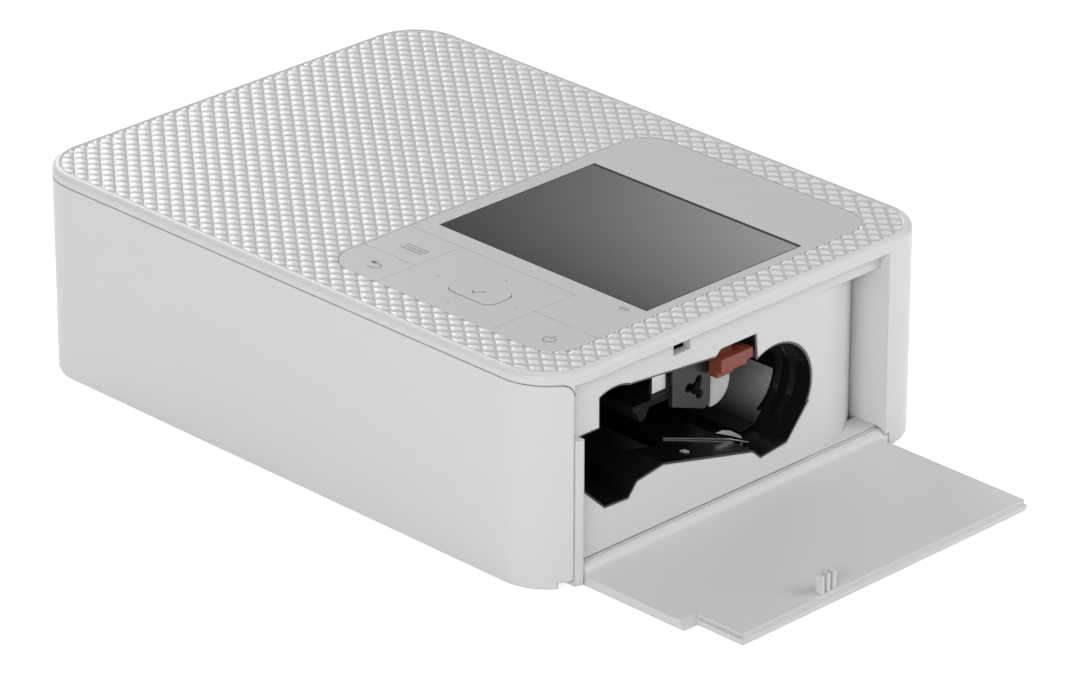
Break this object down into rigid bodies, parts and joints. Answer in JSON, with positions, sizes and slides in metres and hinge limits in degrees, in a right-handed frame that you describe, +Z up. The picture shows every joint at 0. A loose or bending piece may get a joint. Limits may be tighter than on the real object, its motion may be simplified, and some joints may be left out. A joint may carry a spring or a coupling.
{
  "type": "compact photo printer",
  "caption": "Compact photo printer with a drop-down front cover, a side ink compartment cover standing open, a control panel with screen and keys, and a print mechanism inside.",
  "frame": {"origin": "centre of the object's box on the plane its feet stand on, with the ink compartment cover lying open", "axes": "+X from the left end towards the open ink cover, +Y from the front cover to the back wall, +Z up"},
  "size_m": [0.2284, 0.133, 0.0576],
  "materials": {
    "case_plastic": "matt moulded plastic, light grey-white",
    "panel_plastic": "satin light grey plastic",
    "screen_glass": "glossy smoked window",
    "black_plastic": "matt black plastic",
    "dark_plastic": "satin dark grey plastic",
    "ivory_plastic": "satin ivory acetal",
    "lever_plastic": "satin orange-red plastic",
    "foot_rubber": "matt rubber",
    "roller_rubber": "satin rubber",
    "steel": "bright sheet steel",
    "sink_metal": "satin aluminium",
    "pinion_brass": "satin brass",
    "board_green": "satin solder mask",
    "light_lens": "clear light guide",
    "flat_cable": "satin flat cable"
  },
  "bodies": {
    "case": {"upper_case": "case_plastic", "base_shell": "case_plastic", "front_frame": "case_plastic", "side_frame": "case_plastic", "rubber_feet": "foot_rubber", "case_screws": "steel", "control_panel": "panel_plastic", "screen_window": "screen_glass", "lcd_module": "steel", "panel_board": "board_green", "key_switches": "steel", "status_light": "light_lens", "panel_cable": "flat_cable", "compartment_liner": "black_plastic", "left_plate": "steel", "right_plate": "steel", "gear_plate": "steel", "cross_braces": "steel", "chassis_screws": "steel", "shaft_bushes": "ivory_plastic", "pinch_holders": "dark_plastic", "pinch_springs": "steel", "lower_guide": "black_plastic", "rear_guide": "black_plastic", "head_shaft": "steel", "head_springs": "steel", "brake_spring": "steel", "ribbon_motor": "steel", "feed_motor": "steel", "main_board": "board_green", "board_screws": "steel", "power_board": "board_green", "dc_jack": "black_plastic", "card_socket": "steel", "usb_socket": "steel"},
    "front_cover": {"front_cover": "case_plastic"},
    "ink_cover": {"ink_cover": "case_plastic"},
    "menu_key": {"menu_key": "panel_plastic"},
    "back_key": {"back_key": "panel_plastic"},
    "power_key": {"power_key": "panel_plastic"},
    "ok_key": {"ok_key": "panel_plastic"},
    "pad_ring": {"pad_pivot": "dark_plastic"},
    "pad": {"direction_pad": "panel_plastic"},
    "platen": {"platen_roller": "roller_rubber", "platen_shaft": "steel"},
    "grip": {"grip_roller": "steel", "grip_gear": "ivory_plastic"},
    "pinch": {"pinch_roller": "roller_rubber"},
    "feed_pinion": {"feed_pinion": "pinion_brass"},
    "pickup": {"pickup_roller": "roller_rubber", "pickup_shaft": "steel"},
    "take_up": {"take_up_spindle": "ivory_plastic", "take_up_gear": "ivory_plastic"},
    "ribbon_pinion": {"ribbon_pinion": "pinion_brass"},
    "supply": {"supply_spindle": "ivory_plastic"},
    "head": {"head_arm": "dark_plastic", "heat_sink": "sink_metal", "thermal_head": "black_plastic"},
    "lever": {"release_lever": "lever_plastic", "lever_spring": "steel"}
  },
  "joints": [
    {"name": "front_cover_hinge", "type": "hinge", "parent": "case", "child": "front_cover", "pos_m": [-0.0231, -0.0625, 0.0048], "axis": [1, 0, 0], "range_deg": [0, 90]},
    {"name": "ink_cover_hinge", "type": "hinge", "parent": "case", "child": "ink_cover", "pos_m": [0.0656, -0.0024, 0.0044], "axis": [0, -1, 0], "range_deg": [0, 90]},
    {"name": "menu_key_press", "type": "slide", "parent": "case", "child": "menu_key", "axis": [0, 0, -1], "range_m": [0, 0.0003], "stiffness_N_per_m": 400, "springref_m": -0.0005},
    {"name": "back_key_press", "type": "slide", "parent": "case", "child": "back_key", "axis": [0, 0, -1], "range_m": [0, 0.0003], "stiffness_N_per_m": 400, "springref_m": -0.0005},
    {"name": "power_key_press", "type": "slide", "parent": "case", "child": "power_key", "axis": [0, 0, -1], "range_m": [0, 0.0003], "stiffness_N_per_m": 400, "springref_m": -0.0005},
    {"name": "ok_key_press", "type": "slide", "parent": "case", "child": "ok_key", "axis": [0, 0, -1], "range_m": [0, 0.0003], "stiffness_N_per_m": 400, "springref_m": -0.0005},
    {"name": "pad_rock_front_back", "type": "hinge", "parent": "case", "child": "pad_ring", "pos_m": [0.01975, -0.041, 0.0546], "axis": [1, 0, 0], "range_deg": [-0.9, 0.9], "stiffness_Nm_per_rad": 0.05},
    {"name": "pad_rock_left_right", "type": "hinge", "parent": "pad_ring", "child": "pad", "pos_m": [0.01975, -0.041, 0.0546], "axis": [0, 1, 0], "range_deg": [-0.9, 0.9], "stiffness_Nm_per_rad": 0.05},
    {"name": "platen_spin", "type": "hinge", "parent": "case", "child": "platen", "pos_m": [-0.0009, -0.0195, 0.0142], "axis": [1, 0, 0], "continuous": true},
    {"name": "grip_spin", "type": "hinge", "parent": "case", "child": "grip", "pos_m": [-0.0009, 0.0325, 0.0165], "axis": [1, 0, 0], "continuous": true},
    {"name": "pinch_spin", "type": "hinge", "parent": "case", "child": "pinch", "pos_m": [-0.0009, 0.0325, 0.00935], "axis": [1, 0, 0], "continuous": true},
    {"name": "feed_pinion_spin", "type": "hinge", "parent": "case", "child": "feed_pinion", "pos_m": [-0.0642, 0.02359, 0.02541], "axis": [1, 0, 0], "continuous": true},
    {"name": "pickup_spin", "type": "hinge", "parent": "case", "child": "pickup", "pos_m": [-0.0009, -0.0299, 0.0154], "axis": [1, 0, 0], "continuous": true},
    {"name": "take_up_spin", "type": "hinge", "parent": "case", "child": "take_up", "pos_m": [-0.0582, -0.0405, 0.033], "axis": [1, 0, 0], "continuous": true},
    {"name": "ribbon_pinion_spin", "type": "hinge", "parent": "case", "child": "ribbon_pinion", "pos_m": [-0.0642, -0.0327, 0.01949], "axis": [1, 0, 0], "continuous": true},
    {"name": "supply_spin", "type": "hinge", "parent": "case", "child": "supply", "pos_m": [-0.0582, 0.0131, 0.028], "axis": [1, 0, 0], "continuous": true},
    {"name": "head_swing", "type": "hinge", "parent": "case", "child": "head", "pos_m": [-0.0009, 0.0275, 0.045], "axis": [1, 0, 0], "range_deg": [0, 8], "stiffness_Nm_per_rad": 0.02, "springref_deg": -114.59},
    {"name": "lever_lift", "type": "slide", "parent": "case", "child": "lever", "axis": [0, 0, 1], "range_m": [0, 0.0022], "stiffness_N_per_m": 100, "springref_m": -0.002, "deforming": ["lever_spring"]}
  ],
  "couplings": [
    {"joint": "pinch_spin", "follows": "grip_spin", "ratio": -1.0606},
    {"joint": "feed_pinion_spin", "follows": "grip_spin", "ratio": -2.5},
    {"joint": "ribbon_pinion_spin", "follows": "take_up_spin", "ratio": -3.3333}
  ]
}
